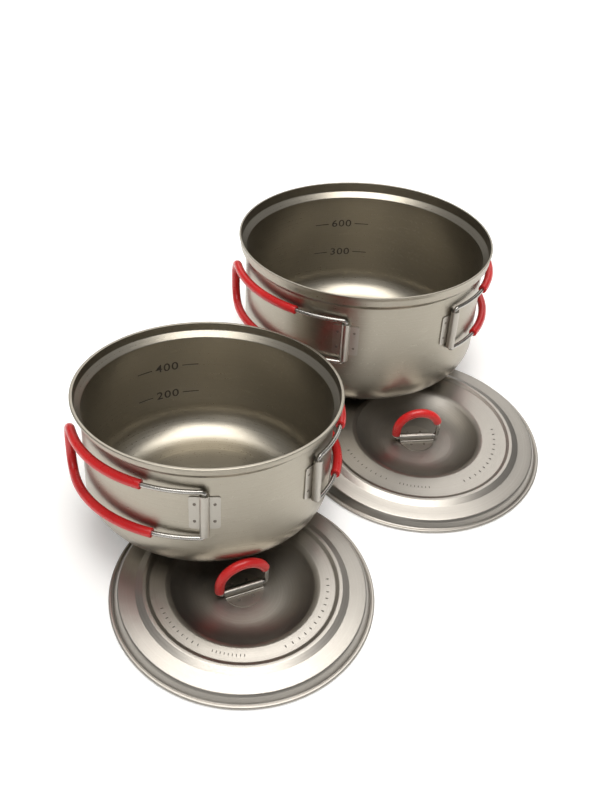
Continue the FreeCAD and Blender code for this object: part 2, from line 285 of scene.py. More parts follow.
def turning_group():
    """Very fine rings left by spinning the sheet, about the piece's own axis."""
    inputs = [("Rings", "NodeSocketFloat", 900.0), ("Waver", "NodeSocketFloat", 0.2)]
    outputs = [("Ring", "NodeSocketFloat")]
    tree, wiring, start, finish = new_tree("spinning rings", "ShaderNodeTree", inputs, outputs)
    along = wiring.add("ShaderNodeAttribute", {"attribute_name": "outline_run"}).outputs["Fac"]
    place = wiring.add("ShaderNodeTexCoord").outputs["Object"]
    drift = wiring.add("ShaderNodeTexNoise", Vector=place, Scale=12.0, Detail=1.0).outputs["Fac"]
    sway = wiring.math("MULTIPLY", start["Waver"], 0.002)
    moved = wiring.math("ADD", along, wiring.math("MULTIPLY", drift, sway))
    spread = wiring.math("MULTIPLY", moved, start["Rings"])
    flat = {"noise_dimensions": "1D"}
    lines = wiring.add("ShaderNodeTexNoise", flat, W=spread, Scale=1.0, Detail=3.0)
    wiring.feed(finish["Ring"], wiring.ramp(lines.outputs["Fac"], (0.3, 0.7, 0.0, 1.0)))
    return tree


def scuff_group():
    """Sparse thin rubs, as pots get from being nested and packed."""
    inputs = [("Size", "NodeSocketFloat", 60.0), ("Amount", "NodeSocketFloat", 0.5)]
    outputs = [("Rub", "NodeSocketFloat")]
    tree, wiring, start, finish = new_tree("packing rubs", "ShaderNodeTree", inputs, outputs)
    place = wiring.add("ShaderNodeTexCoord").outputs["Object"]
    stretch = wiring.add("ShaderNodeMapping", Vector=place)
    stretch.inputs["Scale"].default_value = (1.0, 1.0, 6.0)
    rub = wiring.add(
        "ShaderNodeTexNoise", Vector=stretch.outputs["Vector"], Scale=start["Size"],
        Detail=6.0, Roughness=0.7)
    sparse = wiring.ramp(rub.outputs["Fac"], (0.58, 0.72, 0.0, 1.0))
    wiring.feed(finish["Rub"], wiring.math("MULTIPLY", sparse, start["Amount"]))
    return tree


GRAIN = grain_group()
TURNING = turning_group()
SCUFFS = scuff_group()


# ---------------------------------------------------------------- materials

def new_material(name):
    """A new material, what wires it up, and its shader."""
    material = bpy.data.materials.new(name)
    material.use_nodes = True
    wiring = Wiring(material.node_tree)
    shader = material.node_tree.nodes["Principled BSDF"]
    return material, wiring, shader


def group(wiring, tree, **inputs):
    """Outputs of a shader group put into a material."""
    return wiring.add("ShaderNodeGroup", {"node_tree": tree}, **inputs).outputs


def sheet_titanium(name, light, dark, roughness, rings):
    """Blasted titanium sheet: warm grey satin, with faint spinning rings."""
    material, wiring, shader = new_material(name)
    grain = group(wiring, GRAIN, Grain_Size=1500.0, Tone_Size=18.0)
    ring = group(wiring, TURNING, Rings=rings, Waver=0.3)["Ring"]
    rub = group(wiring, SCUFFS, Size=45.0, Amount=0.35)["Rub"]
    cloud = wiring.math("MULTIPLY", grain["Tone"], 0.6)
    tone = wiring.math("ADD", cloud, wiring.math("MULTIPLY", ring, 0.4))
    colour = wiring.mix(tone, (*dark, 1.0), (*light, 1.0))
    worn = wiring.mix(rub, colour, (*[min(1.0, 1.12 * part) for part in light], 1.0))
    wiring.feed(shader.inputs["Base Color"], worn)
    shader.inputs["Metallic"].default_value = 1.0
    uneven = wiring.math("MULTIPLY", grain["Speckle"], 0.05)
    duller = wiring.math("ADD", wiring.math("MULTIPLY", ring, 0.05), roughness)
    grainy = wiring.math("ADD", duller, uneven)
    smoother = wiring.math("SUBTRACT", grainy, wiring.math("MULTIPLY", rub, 0.08))
    wiring.feed(shader.inputs["Roughness"], smoother)
    height = wiring.math("ADD", grain["Height"], wiring.math("MULTIPLY", ring, 0.15))
    bump = wiring.add("ShaderNodeBump", Height=height, Strength=0.5, Distance=0.00004)
    wiring.feed(shader.inputs["Normal"], bump.outputs["Normal"])
    return material


def drawn_wire(name):
    """Bright drawn stainless wire, with hair lines along it."""
    material, wiring, shader = new_material(name)
    grain = group(wiring, GRAIN, Grain_Size=1800.0, Tone_Size=90.0)
    colour = wiring.mix(grain["Tone"], (0.40, 0.385, 0.36, 1.0), (0.52, 0.505, 0.475, 1.0))
    wiring.feed(shader.inputs["Base Color"], colour)
    shader.inputs["Metallic"].default_value = 1.0
    wiring.feed(shader.inputs["Roughness"], wiring.ramp(grain["Tone"], (0.0, 1.0, 0.20, 0.30)))
    bump = wiring.add("ShaderNodeBump", Height=grain["Height"], Strength=0.05, Distance=0.00001)
    wiring.feed(shader.inputs["Normal"], bump.outputs["Normal"])
    return material


def red_silicone(name):
    """Glossy red silicone tube, slightly uneven, with fine dust in the gloss."""
    material, wiring, shader = new_material(name)
    grain = group(wiring, GRAIN, Grain_Size=700.0, Tone_Size=55.0)
    colour = wiring.mix(grain["Tone"], (0.56, 0.010, 0.012, 1.0), (0.70, 0.022, 0.020, 1.0))
    wiring.feed(shader.inputs["Base Color"], colour)
    wiring.feed(shader.inputs["Roughness"], wiring.ramp(grain["Height"], (0.3, 0.7, 0.26, 0.36)))
    shader.inputs["Subsurface Weight"].default_value = 0.12
    shader.inputs["Subsurface Radius"].default_value = (0.9, 0.15, 0.1)
    shader.inputs["Subsurface Scale"].default_value = 0.0012
    shader.inputs["Specular IOR Level"].default_value = 0.55
    bump = wiring.add("ShaderNodeBump", Height=grain["Height"], Strength=0.10, Distance=0.00008)
    wiring.feed(shader.inputs["Normal"], bump.outputs["Normal"])
    return material


def mark_or_painted_highlight(name, tone):
    """Dull metal of one tone: the dark bottom of a stamped or etched mark, or the pale painted
    highlight on a graduation's lower edge.
    """
    material, wiring, shader = new_material(name)
    grain = group(wiring, GRAIN, Grain_Size=1500.0, Tone_Size=120.0)
    low = [0.7 * part for part in tone]
    wiring.feed(shader.inputs["Base Color"], wiring.mix(grain["Tone"], (*low, 1.0), (*tone, 1.0)))
    shader.inputs["Metallic"].default_value = 0.8
    wiring.feed(shader.inputs["Roughness"], wiring.ramp(grain["Speckle"], (-1.0, 1.0, 0.5, 0.65)))
    return material


# light tone, dark tone, roughness, rings per metre of outline
POT_METAL = sheet_titanium(
    "blasted titanium, pot", (0.405, 0.372, 0.312), (0.35, 0.322, 0.268), 0.31, 1400.0)
LID_METAL = sheet_titanium(
    "blasted titanium, lid", (0.40, 0.375, 0.34), (0.34, 0.318, 0.288), 0.33, 1400.0)
BRACKET_METAL = sheet_titanium(
    "blasted titanium, bracket", (0.46, 0.435, 0.39), (0.40, 0.375, 0.335), 0.30, 300.0)
WIRE_METAL = drawn_wire("drawn stainless wire")
SLEEVE_RED = red_silicone("red silicone tube")
WALL_MARK = mark_or_painted_highlight("stamped graduation", (0.10, 0.09, 0.08))
LID_MARK = mark_or_painted_highlight("etched lid mark", (0.16, 0.15, 0.135))
WELD_MARK = mark_or_painted_highlight("spot weld", (0.26, 0.23, 0.20))
# Pale metal for the painted highlight on the lower edge of each graduation.
PAINTED_MARK_HIGHLIGHT = mark_or_painted_highlight("worn edge of a graduation", (0.46, 0.43, 0.38))


# ---------------------------------------------------------------- geometry trees

def painted_output(wiring, geometry, material, socket):
    """Makes the result real, gives it its material and sends it out of the tree."""
    real = wiring.add("GeometryNodeRealizeInstances", Geometry=geometry)
    painted = wiring.add("GeometryNodeSetMaterial", Geometry=real.outputs["Geometry"])
    wiring.feed(painted.inputs["Material"], material)
    wiring.feed(socket, painted.outputs["Geometry"])


def sampled(wiring, kind, source, value, row):
    """Reads a value from one point of the source."""
    picked = wiring.add("GeometryNodeSampleIndex", {"data_type": kind}, Geometry=source)
    wiring.feed(picked.inputs["Value"], value)
    wiring.feed(picked.inputs["Index"], row)
    return picked.outputs["Value"]


def spun_tree():
    """Turns an outline of (radius, 0, height) points into a shell of revolution."""
    inputs = [
        ("Outline", "NodeSocketGeometry", None), ("Steps", "NodeSocketInt", 64),
        ("Finish", "NodeSocketMaterial", None),
    ]
    outputs = [("Shell", "NodeSocketGeometry")]
    tree, wiring, start, finish = new_tree("spun shell", "GeometryNodeTree", inputs, outputs)
    outline = start["Outline"]
    size = wiring.add("GeometryNodeAttributeDomainSize", {"component": "MESH"}, Geometry=outline)
    columns = wiring.math("ADD", start["Steps"], 1.0)
    grid = wiring.add("GeometryNodeMeshGrid")
    wiring.feed(grid.inputs["Vertices X"], size.outputs["Point Count"])
    wiring.feed(grid.inputs["Vertices Y"], columns)
    number = wiring.add("GeometryNodeInputIndex").outputs["Index"]
    row = wiring.math("FLOOR", wiring.math("DIVIDE", wiring.math("ADD", number, 0.5), columns))
    column = wiring.math("SUBTRACT", number, wiring.math("MULTIPLY", row, columns))
    turn = wiring.math("MULTIPLY", wiring.math("DIVIDE", column, start["Steps"]), 2 * math.pi)
    position = wiring.add("GeometryNodeInputPosition").outputs["Position"]
    run = wiring.add("GeometryNodeInputNamedAttribute", {"data_type": "FLOAT"}, Name="outline_run")
    point = sampled(wiring, "FLOAT_VECTOR", outline, position, row)
    travelled = sampled(wiring, "FLOAT", outline, run.outputs["Attribute"], row)
    split = wiring.add("ShaderNodeSeparateXYZ", Vector=point)
    across = wiring.math("MULTIPLY", split.outputs["X"], wiring.math("COSINE", turn))
    away = wiring.math("MULTIPLY", split.outputs["X"], wiring.math("SINE", turn))
    joined = wiring.add("ShaderNodeCombineXYZ", X=across, Y=away, Z=split.outputs["Z"])
    placed = wiring.add("GeometryNodeSetPosition", Geometry=grid.outputs["Mesh"])
    wiring.feed(placed.inputs["Position"], joined.outputs["Vector"])
    stored = wiring.add("GeometryNodeStoreNamedAttribute", {"data_type": "FLOAT"})
    wiring.feed(stored.inputs["Geometry"], placed.outputs["Geometry"])
    stored.inputs["Name"].default_value = "outline_run"
    wiring.feed(stored.inputs["Value"], travelled)
    closed = wiring.add("GeometryNodeMergeByDistance", Distance=MERGE_DISTANCE)
    wiring.feed(closed.inputs["Geometry"], stored.outputs["Geometry"])
    outward = wiring.add("GeometryNodeFlipFaces", Mesh=closed.outputs["Geometry"])
    smooth = wiring.add("GeometryNodeSetShadeSmooth", Geometry=outward.outputs["Mesh"])
    painted_output(wiring, smooth.outputs["Geometry"], start["Finish"], finish["Shell"])
    return tree


def rod_tree():
    """Round rod or tube skin along a curve."""
    inputs = [
        ("Path", "NodeSocketGeometry", None), ("Radius", "NodeSocketFloat", 0.001),
        ("Sides", "NodeSocketInt", 16), ("Finish", "NodeSocketMaterial", None),
    ]
    outputs = [("Rod", "NodeSocketGeometry")]
    tree, wiring, start, finish = new_tree("bent rod", "GeometryNodeTree", inputs, outputs)
    ring = wiring.add("GeometryNodeCurvePrimitiveCircle", Radius=start["Radius"])
    wiring.feed(ring.inputs["Resolution"], start["Sides"])
    width = wiring.add("GeometryNodeInputRadius").outputs["Radius"]
    skin = wiring.add("GeometryNodeCurveToMesh", Curve=start["Path"])
    wiring.feed(skin.inputs["Profile Curve"], ring.outputs["Curve"])
    if "Scale" in skin.inputs:
        wiring.feed(skin.inputs["Scale"], width)
    skin.inputs["Fill Caps"].default_value = True
    smooth = wiring.add("GeometryNodeSetShadeSmooth", Geometry=skin.outputs["Mesh"])
    painted_output(wiring, smooth.outputs["Geometry"], start["Finish"], finish["Rod"])
    return tree


def marks_tree():
    """Puts one small round or oblong mark at each point, facing as the point says."""
    inputs = [
        ("Points", "NodeSocketGeometry", None), ("Length", "NodeSocketFloat", 0.001),
        ("Width", "NodeSocketFloat", 0.001), ("Rise", "NodeSocketFloat", 0.0001),
        ("Finish", "NodeSocketMaterial", None),
    ]
    outputs = [("Marks", "NodeSocketGeometry")]
    tree, wiring, start, finish = new_tree("row of marks", "GeometryNodeTree", inputs, outputs)
    button = wiring.add("GeometryNodeMeshCylinder", Vertices=MARK_SIDES, Radius=0.5, Depth=1.0)
    size = wiring.add("ShaderNodeCombineXYZ", X=start["Width"], Y=start["Length"], Z=start["Rise"])
    vector = {"data_type": "FLOAT_VECTOR"}
    facing = wiring.add("GeometryNodeInputNamedAttribute", vector, Name="facing")
    upright = wiring.add("GeometryNodeInputNamedAttribute", vector, Name="lengthwise")
    turned = wiring.add("FunctionNodeAlignRotationToVector", {"axis": "Z"})
    wiring.feed(turned.inputs["Vector"], facing.outputs["Attribute"])
    pivoted = wiring.add("FunctionNodeAlignRotationToVector", {"axis": "Y", "pivot_axis": "Z"})
    wiring.feed(pivoted.inputs["Rotation"], turned.outputs["Rotation"])
    wiring.feed(pivoted.inputs["Vector"], upright.outputs["Attribute"])
    spread = wiring.add("GeometryNodeInstanceOnPoints", Points=start["Points"])
    wiring.feed(spread.inputs["Instance"], button.outputs["Mesh"])
    wiring.feed(spread.inputs["Rotation"], pivoted.outputs["Rotation"])
    wiring.feed(spread.inputs["Scale"], size.outputs["Vector"])
    painted_output(wiring, spread.outputs["Instances"], start["Finish"], finish["Marks"])
    return tree


SPUN = spun_tree()
ROD = rod_tree()
MARKS = marks_tree()


def final_mesh(maker):
    """The object's evaluated shape as a mesh of its own."""
    bpy.context.view_layer.update()
    evaluated = maker.evaluated_get(bpy.context.evaluated_depsgraph_get())
    return bpy.data.meshes.new_from_object(evaluated)


def grown(name, source, tree, place, **values):
    """Runs a tree on the source; the result is a plain mesh object in its place."""
    maker = bpy.data.objects.new(name + "_source", source)
    bpy.context.scene.collection.objects.link(maker)
    modifier = maker.modifiers.new("grow", "NODES")
    modifier.node_group = tree
    for item in tree.interface.items_tree:
        label = item.name.replace(" ", "_")
        if item.in_out == "INPUT" and label in values:
            modifier[item.identifier] = values[label]
    made = final_mesh(maker)
    maker.modifiers.remove(modifier)
    bpy.data.objects.remove(maker)
    made.transform(place)
    made.name = name
    piece = bpy.data.objects.new(name, made)
    bpy.context.scene.collection.objects.link(piece)
    return piece


def finished(piece, body, slot, *nodes):
    """Says what the piece rides on and the CAD nodes that it stands for; the slot that names its
    finish is not used.
    """
    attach(piece, body)
    if nodes:
        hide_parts(*nodes)


# ---------------------------------------------------------------- outlines

def rounded(points):
    """Outline from (radius, height[, fillet]) corners, each rounded as its sides allow."""
    flat = [Vector((point[0], point[1])) for point in points]
    wanted = [0.0]
    for index in range(1, len(points) - 1):
        fillet = points[index][2] if len(points[index]) > 2 else 0.0
        opening = (flat[index - 1] - flat[index]).angle(flat[index + 1] - flat[index])
        wanted.append(0.0 if opening > math.pi - 0.01 else fillet / math.tan(opening / 2))
    wanted.append(0.0)
    line = [flat[0]]
    for index in range(1, len(points) - 1):
        here = flat[index]
        back = flat[index - 1] - here
        onward = flat[index + 1] - here
        opening = back.angle(onward)
        if wanted[index] <= 0:
            line.append(here)
            continue
        share_back = wanted[index] / (wanted[index] + wanted[index - 1])
        share_onward = wanted[index] / (wanted[index] + wanted[index + 1])
        room = min(share_back * back.length, share_onward * onward.length)
        reach = min(wanted[index], FILLET_LIMIT * room)
        radius = reach * math.tan(opening / 2)
        halfway = (back.normalized() + onward.normalized()).normalized()
        middle = here + halfway * radius / math.sin(opening / 2)
        first = here + back.normalized() * reach - middle
        last = here + onward.normalized() * reach - middle
        sweep = first.angle_signed(last)
        count = max(2, int(abs(sweep) / FILLET_STEP) + 1)
        for step in range(count + 1):
            line.append(middle + Matrix.Rotation(-sweep * step / count, 2) @ first)
    line.append(flat[-1])
    return line


def divided(line, longest):
    """The same outline with no piece longer than the given length."""
    fine = [line[0]]
    for point in line[1:]:
        gap = point - fine[-1]
        count = max(1, math.ceil(gap.length / longest))
        start = fine[-1].copy()
        fine += [start + gap * step / count for step in range(1, count + 1)]
    return fine


def outline_mesh(name, line):
    """Points of an outline, each with how far along the outline it lies."""
    mesh = bpy.data.meshes.new(name)
    mesh.from_pydata([(x * MM, 0, y * MM) for x, y in line], [], [])
    run = mesh.attributes.new("outline_run", "FLOAT", "POINT")
    travelled = 0.0
    for index, point in enumerate(line):
        if index:
            travelled += (point - line[index - 1]).length
        run.data[index].value = travelled * MM
    return mesh


def rim_line(pot, outside):
    """Corners of the rim, from the foot of its lip outside to its top inside."""
    rim = pot["rim_radius"]
    top = pot["height"]
    if pot["rolled_rim"]:
        foot = top - ROLLED_LIP_HEIGHT
        lip = [(outside, foot, 0.15), (rim, foot, 0.55), (rim, top, 0.5)]
        return lip + [(outside - SHEET, top, 0.2)]
    return [
        (outside, top - PLAIN_LIP_HEIGHT, 0.8), (rim, top - PLAIN_LIP_EDGE, 0.3),
        (rim - PLAIN_LIP_BEVEL, top, 0.15), (outside - SHEET, top, 0.15),
    ]


def pot_outline(pot):
    """From the middle of the base, up the outside, over the rim and down the inside."""
    body = pot["body_radius"]
    bend = pot["corner_radius"]
    ledge = pot["height"] - pot["ledge_depth"]
    outside = pot["rim_radius"] - (ROLLED_LIP if pot["rolled_rim"] else PLAIN_LIP)
    band = outside - UPPER_FLARE
    band_foot = ledge + (outside - body) * LEDGE_STEEPNESS
    inner = body - SHEET
    foot = body - bend - FOOT_INSET
    foot_edge = foot + FOOT_RING_WIDTH
    inside_floor = SHEET + FOOT_RING_RISE_INSIDE
    line = [(0, 0), (foot, 0, 3.0), (foot_edge, FOOT_RING_RISE, 2.0), (body, 0, bend)]
    line += [(body, ledge, 1.4), (band, band_foot, 1.4)]
    line += rim_line(pot, outside)
    line += [(band - SHEET, band_foot + LEDGE_TOP_LIFT, 0.9), (inner, ledge + LEDGE_LIFT, 0.9)]
    line += [(inner, SHEET, bend - SHEET), (foot_edge, SHEET, 2.0)]
    line += [(foot, inside_floor, 3.0), (0, inside_floor)]
    return divided(rounded(line), OUTLINE_PIECE)


def lid_top_line(radius, drop):
    """From the foot of the lid's side band inwards to the dish's middle, lowered by drop."""
    inset = drop * UNDERSIDE_INSET
    wall = radius - FLANGE_BEAD - inset
    shoulder = radius - SHOULDER_INSET - inset
    step = radius - STEP_INSET
    ridge = step - STEP_WIDTH
    corners = [
        (wall, FLANGE_HEIGHT, 0.4), (shoulder + BAND_LEAN, SHOULDER_HEIGHT - BAND_EDGE, 0.8),
        (shoulder, SHOULDER_HEIGHT, 1.0), (step + STEP_EASE, STEP_LOW, 1.2),
        (ridge, RIDGE_HEIGHT, 1.4), (ridge - RIDGE_WIDTH, RIDGE_HEIGHT, 1.2),
        (ridge - RIDGE_FOOT, DISH_EDGE_HEIGHT - RING_FALL, 1.6),
        (DISH_RADIUS + DISH_BROW, DISH_EDGE_HEIGHT, 2.4),
    ]
    line = [(reach, height - drop, fillet) for reach, height, fillet in corners]
    return line + dish_points(drop)


def dish_points(drop):
    """The dish falls in one smooth line from the flat ring to its floor."""
    points = []
    depth = DISH_EDGE_HEIGHT - DISH_FLOOR
    for step in range(1, DISH_STEPS):
        share = step / DISH_STEPS
        radius = DISH_RADIUS + (DISH_FLAT_RADIUS - DISH_HOLLOW - DISH_RADIUS) * share
        fall = 1 - (1 - share) ** DISH_CURVE
        points.append((radius, DISH_EDGE_HEIGHT - depth * fall - drop))
    points.append((0, DISH_FLOOR - drop))
    return points


def lid_outline(lid):
    """Underside from the middle outwards, round the flange, and the top back inwards."""
    radius = lid["radius"]
    under = lid_top_line(radius, SHEET)
    over = lid_top_line(radius, 0)
    edge = [(radius - FLANGE_BEAD - SHEET, 0, 0.2), (radius, 0, 0.45), (radius, FLANGE_HEIGHT, 0.6)]
    groove = [(radius - GROOVE_OUTER, FLANGE_HEIGHT, 0.3)]
    groove += [(radius - GROOVE_INNER, FLANGE_HEIGHT - GROOVE_DEPTH, 0.2)]
    return divided(rounded(list(reversed(under)) + edge + groove + over), OUTLINE_PIECE)


# ---------------------------------------------------------------- placing

def pot_matrix(size):
    """Where a leaning pot's own frame lies: base middle at its origin, axis along z."""
    pot = POTS[size]
    slope_x = math.tan(math.radians(pot["lean_side"]))
    slope_y = math.tan(math.radians(pot["lean_back"]))
    axis = Vector((slope_x, slope_y, 1)).normalized()
    right = Vector((0, 1, 0)).cross(axis).normalized()
    away = axis.cross(right)
    flat = pot["body_radius"] - pot["corner_radius"]
    rise = flat * math.hypot(axis.x, axis.y) + pot["corner_radius"] * (1 - axis.z)
    place = (Vector((*pot["at"], rise)) + SHIFT) * MM
    turn = Matrix((right, away, axis)).transposed()
    return Matrix.Translation(place) @ turn.to_4x4()


def lid_matrix(size):
    """Where a lid's own frame lies: flat on the floor, turned about its middle."""
    lid = LIDS[size]
    place = (Vector((*lid["at"], 0)) + SHIFT) * MM
    return Matrix.Translation(place) @ Matrix.Rotation(math.radians(lid["turn"]), 4, "Z")


def handle_matrix(size, side):
    """The pot's frame, turned so that the hinge is straight ahead."""
    turn = Matrix.Rotation(math.radians(POTS[size]["hinge_azimuth"][side]), 4, "Z")
    return pot_matrix(size) @ turn


def mirrored(points, side):
    """A left handle is the right one's mirror image."""
    if side == "right":
        return points
    return [Vector((-point.x, point.y, point.z)) for point in points]


# ---------------------------------------------------------------- paths

def arc_points(centre, radius, first, second, start, end, step_degrees):
    """Points of an arc, by angles from the direction first towards the direction second."""
    count = max(2, math.ceil(abs(end - start) / step_degrees))
    points = []
    for step in range(count + 1):
        angle = math.radians(start + (end - start) * step / count)
        points.append(centre + first * radius * math.cos(angle) + second * radius * math.sin(angle))
    return points


def handle_directions():
    """Directions at the hinge: along the folded handle, and square to it towards the pot."""
    splay = math.radians(HANDLE_SPLAY)
    along = Vector((math.cos(splay), -math.sin(splay), 0))
    inward = Vector((math.sin(splay), math.cos(splay), 0))
    return along, inward


def handle_run_points(pot, upper_start, lower_start):
    """The loop's two long arcs and its far end, from the given degrees past the hinge."""
    radius = pot["body_radius"] + HINGE_STANDOFF
    heading, inward = handle_directions()
    centre = Vector((0, -radius, 0)) + heading * HANDLE_BEND + inward * radius
    half_gap = BARREL_LENGTH / 2 + HANDLE_BEND
    high = UP * (pot["barrel_middle"] + half_gap)
    low = UP * (pot["barrel_middle"] - half_gap)
    last = math.radians(pot["handle_arc"])
    far = centre - inward * radius * math.cos(last) + heading * radius * math.sin(last)
    onward = heading * math.cos(last) + inward * math.sin(last)
    arc = pot["handle_arc"]
    upper = (centre + high, radius, -inward, heading, upper_start, arc, RUN_STEP)
    upper_turn = (far + high - UP * HANDLE_TURN, HANDLE_TURN, UP, onward, 0, 90, TURN_STEP)
    lower_turn = (far + low + UP * HANDLE_TURN, HANDLE_TURN, onward, -UP, 0, 90, TURN_STEP)
    lower = (centre + low, radius, -inward, heading, arc, lower_start, RUN_STEP)
    points = arc_points(*upper)
    points += arc_points(*upper_turn)[1:]
    points += arc_points(*lower_turn)
    points += arc_points(*lower)[1:]
    return points


def handle_wire_points(pot):
    """The whole wire loop, from one end inside the barrel to the other."""
    heading, inward = handle_directions()
    hinge = Vector((0, -(pot["body_radius"] + HINGE_STANDOFF), pot["barrel_middle"]))
    half = BARREL_LENGTH / 2
    points = [hinge + UP * WIRE_END_GAP / 2]
    upper = hinge + UP * half + heading * HANDLE_BEND
    lower = hinge - UP * half + heading * HANDLE_BEND
    points += arc_points(upper, HANDLE_BEND, -heading, UP, 0, 90, BEND_STEP)
    points += handle_run_points(pot, 0, 0)[1:-1]
    points += arc_points(lower, HANDLE_BEND, -UP, -heading, 0, 90, BEND_STEP)
    points.append(hinge - UP * WIRE_END_GAP / 2)
    return points


def grip_axis():
    """Height of the grip's hinge axis above the lid's foot."""
    return DISH_FLOOR + GRIP_AXIS_RISE


def grip_arch_points(low_bare, high_cut):
    """The grip's arch, less a length at its low end and an angle at its high end."""
    foot = grip_axis() + GRIP_BEND
    top = foot + GRIP_STRAIGHT
    right = Vector((1, 0, 0))
    points = [Vector((-GRIP_HALF_WIDTH, 0, foot + low_bare))]
    points += arc_points(UP * top, GRIP_HALF_WIDTH, right, UP, 180, high_cut, ARCH_STEP)
    if high_cut == 0:
        points.append(Vector((GRIP_HALF_WIDTH, 0, foot)))
    return points


def grip_wire_points():
    """The grip's whole wire, from one end inside the barrel to the other."""
    height = grip_axis()
    reach = GRIP_HALF_WIDTH - GRIP_BEND
    right = Vector((1, 0, 0))
    left_bend = Vector((-reach, 0, height + GRIP_BEND))
    right_bend = Vector((reach, 0, height + GRIP_BEND))
    points = [Vector((-WIRE_END_GAP / 2, 0, height))]
    points += arc_points(left_bend, GRIP_BEND, -UP, -right, 0, 90, BEND_STEP)
    points += grip_arch_points(0, 0)[1:-1]
    points += arc_points(right_bend, GRIP_BEND, right, -UP, 0, 90, BEND_STEP)
    points.append(Vector((WIRE_END_GAP / 2, 0, height)))
    return points


def soft_start(line, widths, length):
    """Adds points that narrow the line's first end over the given length."""
    way = (line[1] - line[0]).normalized()
    steps = [(line[0] + way * length * share, width) for share, width in reversed(SOFT_END_STEPS)]
    line = [line[0]] + [point for point, _ in steps] + line[1:]
    widths = [SOFT_END_WIDTH] + [width for _, width in steps] + widths[1:]
    return line, widths


def path_curve(name, points, soft_ends):
    """Open curve through the points; soft_ends draws its two ends in, as a cut tube's edge."""
    line = list(points)
    widths = [1.0] * len(line)
    if soft_ends:
        for _ in range(2):
            line, widths = soft_start(line, widths, soft_ends)
            line.reverse()
            widths.reverse()
    curve = bpy.data.curves.new(name, "CURVE")
    curve.dimensions = "3D"
    spline = curve.splines.new("POLY")
    spline.points.add(len(line) - 1)
    for spot, point, width in zip(spline.points, line, widths):
        spot.co = (*(point * MM), 1)
        spot.radius = width
    return curve


def rod(name, points, radius, finish, place, soft_ends=0.0):
    curve = path_curve(name, points, soft_ends)
    sizes = {"Radius": radius * MM, "Sides": TUBE_SIDES}
    return grown(name, curve, ROD, place, Finish=finish, **sizes)


# ---------------------------------------------------------------- marks

def marks(name, spots, size, finish, place):
    """Marks of one (length, width, thickness) at (position, facing, lengthwise) spots."""
    mesh = bpy.data.meshes.new(name)
    mesh.from_pydata([spot[0] * MM for spot in spots], [], [])
    for label, index in (("facing", 1), ("lengthwise", 2)):
        attribute = mesh.attributes.new(label, "FLOAT_VECTOR", "POINT")
        for number, spot in enumerate(spots):
            attribute.data[number].vector = spot[index]
    length, width, thickness = size
    sizes = {"Length": length * MM, "Width": width * MM, "Rise": thickness * MM}
    return grown(name, mesh, MARKS, place, Finish=finish, **sizes)


def weld_spots(size):
    """The four spot welds of both brackets of a pot, in the pot's own frame."""
    pot = POTS[size]
    face = pot["body_radius"] + WELD_GAP + SHEET
    spots = []
    for azimuth in pot["hinge_azimuth"].values():
        for side in (-1, 1):
            for rise in (-0.5, 0.5):
                angle = math.radians(azimuth) + side * WELD_MARK_REACH / face
                outward = Vector((math.sin(angle), -math.cos(angle), 0))
                height = UP * (pot["barrel_middle"] + rise * WELD_MARK_PITCH)
                spots.append((outward * (face - WELD_MARK_SUNK) + height, outward, UP))
    return spots


def disc_weld_spots():
    """The four spot welds of a lid's disc, in the lid's own frame."""
    height = DISH_FLOOR + WELD_GAP + DISC_SHEET - WELD_MARK_SUNK
    spots = []
    for side in (-1, 1):
        for across in (-1, 1):
            place = Vector((side * DISC_MARK_ALONG, across * DISC_MARK_ACROSS, height))
            spots.append((place, UP, Vector((0, 1, 0))))
    return spots


def lid_mark_spots(lid):
    """Groups of short plain ticks round the flat ring."""
    outer = lid["radius"] - STEP_INSET - STEP_WIDTH - RIDGE_FOOT
    radius = (outer + DISH_RADIUS + DISH_BROW) / 2
    height = DISH_EDGE_HEIGHT
    spots = []
    for start, end, step in TICK_GROUPS:
        count = int((end - start) / step)
        for number in range(count + 1):
            angle = math.radians(start + number * step - lid["turn"])
            outward = Vector((math.sin(angle), -math.cos(angle), 0))
            spots.append((outward * radius + UP * height, UP, outward))
    return spots


def wrapped_flat(pot, drawing, height, stand):
    """Lays a flat drawing (millimetres, x along, y up) on the inside of the wall."""
    flat_points, faces = drawing
    radius = pot["body_radius"] - SHEET - stand
    middle = math.radians(pot["marks_azimuth"])
    laid = []
    for x, y in flat_points:
        angle = middle - x / radius
        across = radius * math.sin(angle) * MM
        away = -radius * math.cos(angle) * MM
        laid.append((across, away, (height + y) * MM))
    mesh = bpy.data.meshes.new("mark")
    mesh.from_pydata(laid, [], faces)
    return mesh


def number_drawing(number):
    """A flat number, as points and faces, in millimetres."""
    text = bpy.data.curves.new("number", "FONT")
    text.body = number
    text.align_x = "CENTER"
    text.align_y = "CENTER"
    text.size = NUMBER_HEIGHT * LETTER_SIZE
    text.offset = LETTER_WEIGHT
    text.space_character = LETTER_SPACING
    maker = bpy.data.objects.new("number", text)
    bpy.context.scene.collection.objects.link(maker)
    mesh = final_mesh(maker)
    bpy.data.objects.remove(maker)
    points = [(vertex.co.x * NUMBER_SPREAD, vertex.co.y) for vertex in mesh.vertices]
    faces = [tuple(face.vertices) for face in mesh.polygons]
    return points, faces


def stroke_drawing(start, end, steps=10):
    """A flat dash, in pieces short enough to follow the wall."""
    points = []
    for step in range(steps + 1):
        x = start + (end - start) * step / steps
        points += [(x, -DASH_WIDTH / 2), (x, DASH_WIDTH / 2)]
    faces = [(2 * step, 2 * step + 2, 2 * step + 3, 2 * step + 1) for step in range(steps)]
    return points, faces


def graduations(size, name, lowered, stand, finish):
    """The pot's graduations: each a number with a dash on either side of it."""
    pot = POTS[size]
    parts = []
    for height, number in pot["marks"]:
        dashes = [stroke_drawing(-DASH_FAR, -DASH_NEAR), stroke_drawing(DASH_NEAR, DASH_FAR)]
        for drawing in [number_drawing(number)] + dashes:
            parts.append(wrapped_flat(pot, drawing, height - lowered, stand))
    piece = joined(f"{name}_{size}", parts)
    piece.data.transform(pot_matrix(size))
    piece.data.materials.append(finish)
    return piece


